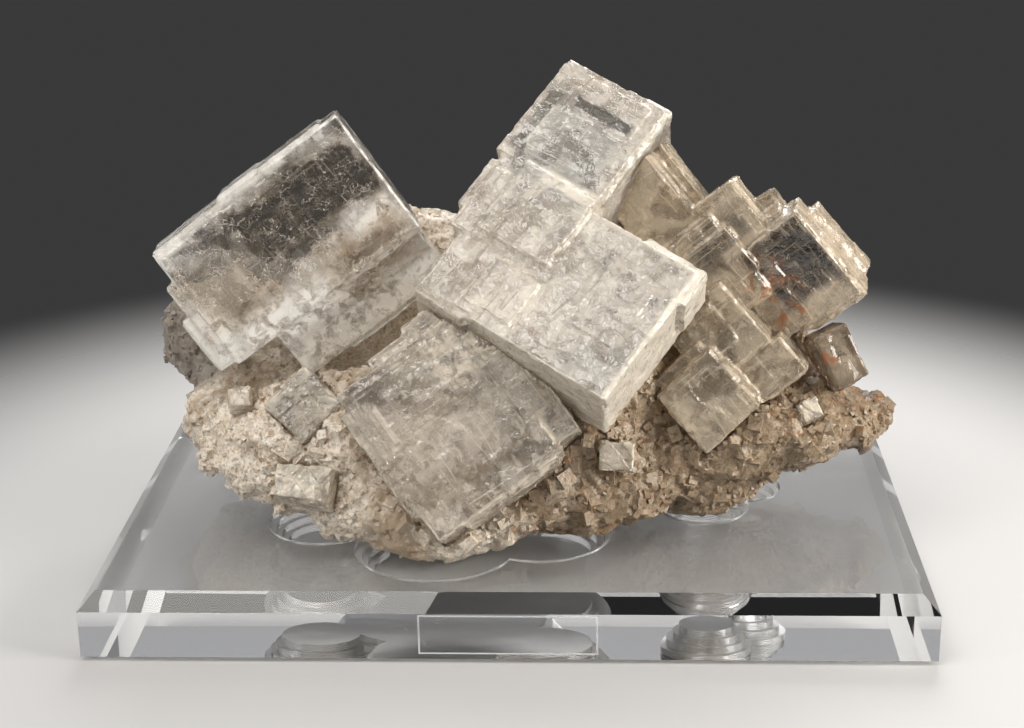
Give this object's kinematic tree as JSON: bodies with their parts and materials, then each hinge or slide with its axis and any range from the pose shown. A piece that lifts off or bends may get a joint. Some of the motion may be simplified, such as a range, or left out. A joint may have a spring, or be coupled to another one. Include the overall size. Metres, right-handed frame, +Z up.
{
  "type": "halite crystal cluster",
  "caption": "Stepped cubic halite crystals grown on a lump of granular salt, set in the milled recess of a bevelled clear display slab on round feet.",
  "frame": {"origin": "middle of the slab's footprint, on the plane that its feet stand on", "axes": "+X to the right along the slab's long side, +Y from the front to the back, +Z up; the large crystal faces look towards -Y"},
  "size_m": [0.3302, 0.2032, 0.2089],
  "materials": {
    "clear_salt": "see-through, with cloudy patches and etched faces",
    "frosted_salt": "milky and frosted, waxy sheen",
    "grey_salt": "cloudy, part see-through",
    "sugary_salt": "granular, with rust-coloured specks",
    "acrylic": "polished, with a frosted milled recess"
  },
  "bodies": {
    "root": {"matrix": "sugary_salt", "left_crystal": "clear_salt", "main_crystals": "frosted_salt", "lower_crystal": "frosted_salt", "right_crystals": "grey_salt", "low_right_crystals": "grey_salt", "far_right_crystal": "grey_salt", "small_cube_1": "grey_salt", "small_cube_2": "grey_salt", "small_cube_3": "grey_salt", "small_cube_4": "grey_salt", "small_cube_5": "grey_salt", "small_cube_6": "grey_salt", "small_cube_7": "grey_salt", "small_cube_8": "grey_salt", "base_slab": "acrylic", "foot_front_left": "acrylic", "foot_front_right": "acrylic", "foot_back_left": "acrylic", "foot_back_right": "acrylic"}
  },
  "joints": []
}
